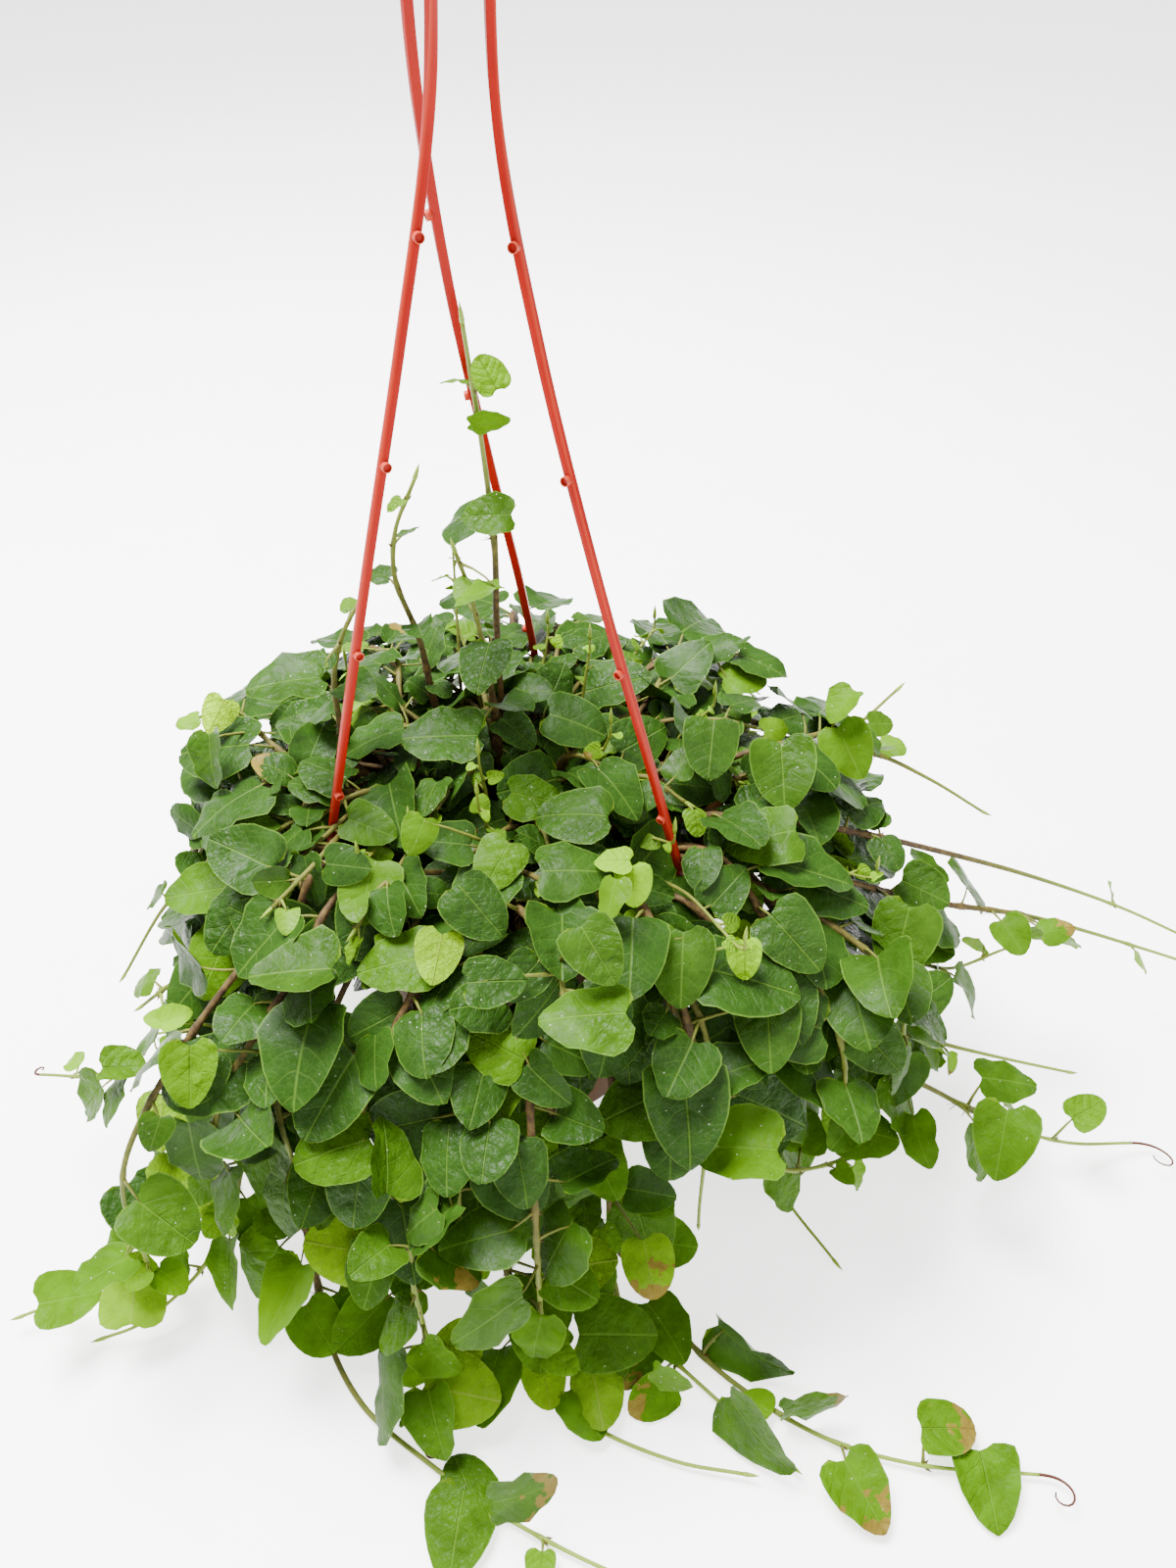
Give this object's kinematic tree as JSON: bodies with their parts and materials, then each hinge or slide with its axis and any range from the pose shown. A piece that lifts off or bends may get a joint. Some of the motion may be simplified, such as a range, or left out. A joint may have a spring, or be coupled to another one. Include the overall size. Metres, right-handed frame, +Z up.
{
  "type": "potted plant",
  "caption": "Trailing creeping fig in a plastic hanging pot, with bowed hanger arms that meet in a hook. It stands on its base or hangs from a rail.",
  "frame": {"origin": "centre of the pot's underside, where it stands on the table", "axes": "+Z up along the pot's axis; -Y towards the viewer of the picture, +X to the viewer's right"},
  "size_m": [0.4904, 0.3966, 0.4482],
  "materials": {
    "pot_plastic": "moulded terracotta-coloured plastic with a low sheen",
    "hanger_plastic": "stiff orange-red moulded plastic, satin",
    "potting_soil": "dark moist peat, rough",
    "foliage": "green leaves with a soft waxy sheen on yellow-green to brown stems"
  },
  "bodies": {
    "root": {"hanger_arm_back": "hanger_plastic", "hanger_arm_left": "hanger_plastic", "hanger_arm_right": "hanger_plastic", "hanger_hook": "hanger_plastic", "pot": "pot_plastic", "soil": "potting_soil", "stem_arm_side": "foliage", "stem_back_left": "foliage", "stem_back_right": "foliage", "stem_bare_low_right": "foliage", "stem_bare_right": "foliage", "stem_far_right": "foliage", "stem_far_right_twin": "foliage", "stem_floor_front": "foliage", "stem_floor_inner": "foliage", "stem_floor_middle": "foliage", "stem_floor_right": "foliage", "stem_floor_right_twin": "foliage", "stem_front_right": "foliage", "stem_low_left": "foliage", "stem_low_right": "foliage", "stem_mid_left": "foliage", "stem_skirt_1": "foliage", "stem_skirt_10": "foliage", "stem_skirt_11": "foliage", "stem_skirt_12": "foliage", "stem_skirt_2": "foliage", "stem_skirt_3": "foliage", "stem_skirt_4": "foliage", "stem_skirt_5": "foliage", "stem_skirt_6": "foliage", "stem_skirt_7": "foliage", "stem_skirt_8": "foliage", "stem_skirt_9": "foliage", "stem_tall_back": "foliage", "stem_tall_left": "foliage", "stem_tall_middle": "foliage", "stem_tip_left": "foliage", "stem_top_1": "foliage", "stem_top_10": "foliage", "stem_top_11": "foliage", "stem_top_12": "foliage", "stem_top_13": "foliage", "stem_top_14": "foliage", "stem_top_15": "foliage", "stem_top_16": "foliage", "stem_top_2": "foliage", "stem_top_3": "foliage", "stem_top_4": "foliage", "stem_top_5": "foliage", "stem_top_6": "foliage", "stem_top_7": "foliage", "stem_top_8": "foliage", "stem_top_9": "foliage", "stem_upper_left": "foliage", "stem_upper_right": "foliage", "stem_yellow_right": "foliage", "stem_young_left": "foliage"}
  },
  "joints": []
}
